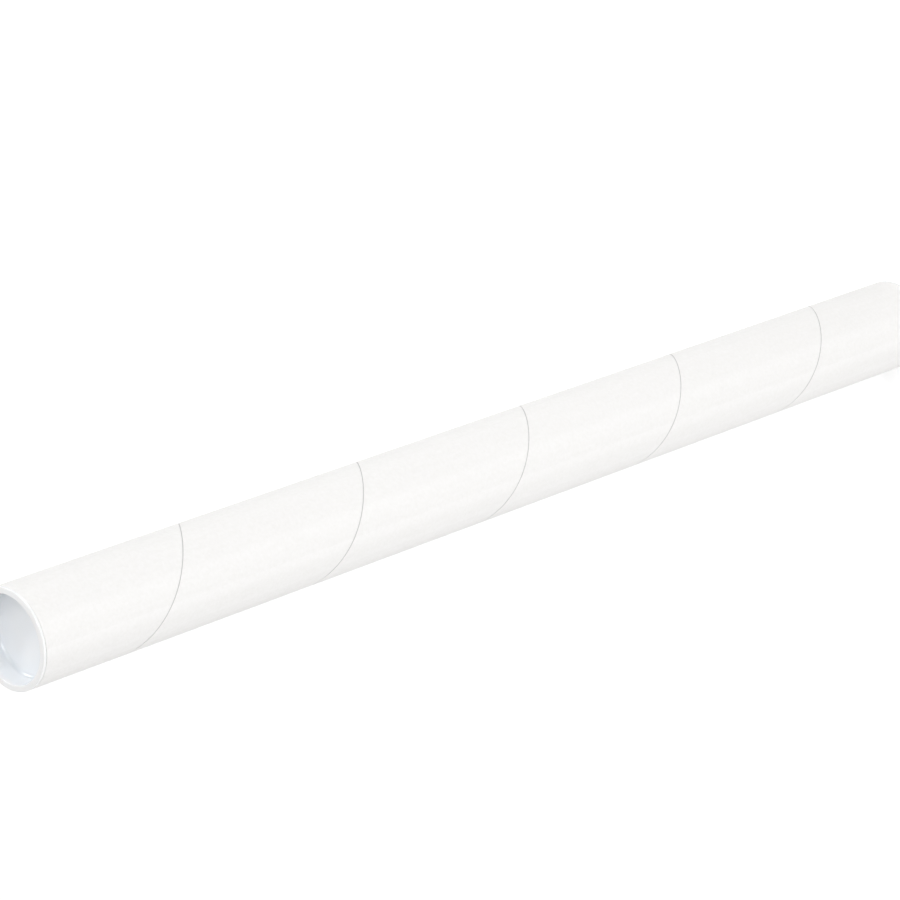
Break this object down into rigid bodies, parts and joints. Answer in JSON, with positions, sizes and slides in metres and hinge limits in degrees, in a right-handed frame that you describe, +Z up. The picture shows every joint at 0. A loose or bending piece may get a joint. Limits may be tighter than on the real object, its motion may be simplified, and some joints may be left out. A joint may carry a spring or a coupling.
{
  "type": "cardboard mailing tube",
  "caption": "White spiral-wound cardboard mailing tube, closed at each end by a recessed plastic plug that pulls out. Holds and ships rolled papers.",
  "frame": {"origin": "under the middle of the lower plug's flange, where the standing tube meets the surface", "axes": "+Z up the tube's axis, towards the end nearest the camera in the picture; +Y away from the camera"},
  "size_m": [0.0544, 0.0544, 0.714],
  "materials": {
    "board": "matte",
    "plug_plastic": "satin, slightly milky"
  },
  "bodies": {
    "tube": {"tube": "board"},
    "top_plug": {"top_plug": "plug_plastic"},
    "bottom_plug": {"bottom_plug": "plug_plastic"}
  },
  "joints": [
    {"name": "top_plug_pull", "type": "slide", "parent": "tube", "child": "top_plug", "axis": [0, 0, 1], "range_m": [0, 0.1]},
    {"name": "bottom_plug_pull", "type": "slide", "parent": "tube", "child": "bottom_plug", "axis": [0, 0, -1], "range_m": [0, 0.1]}
  ]
}
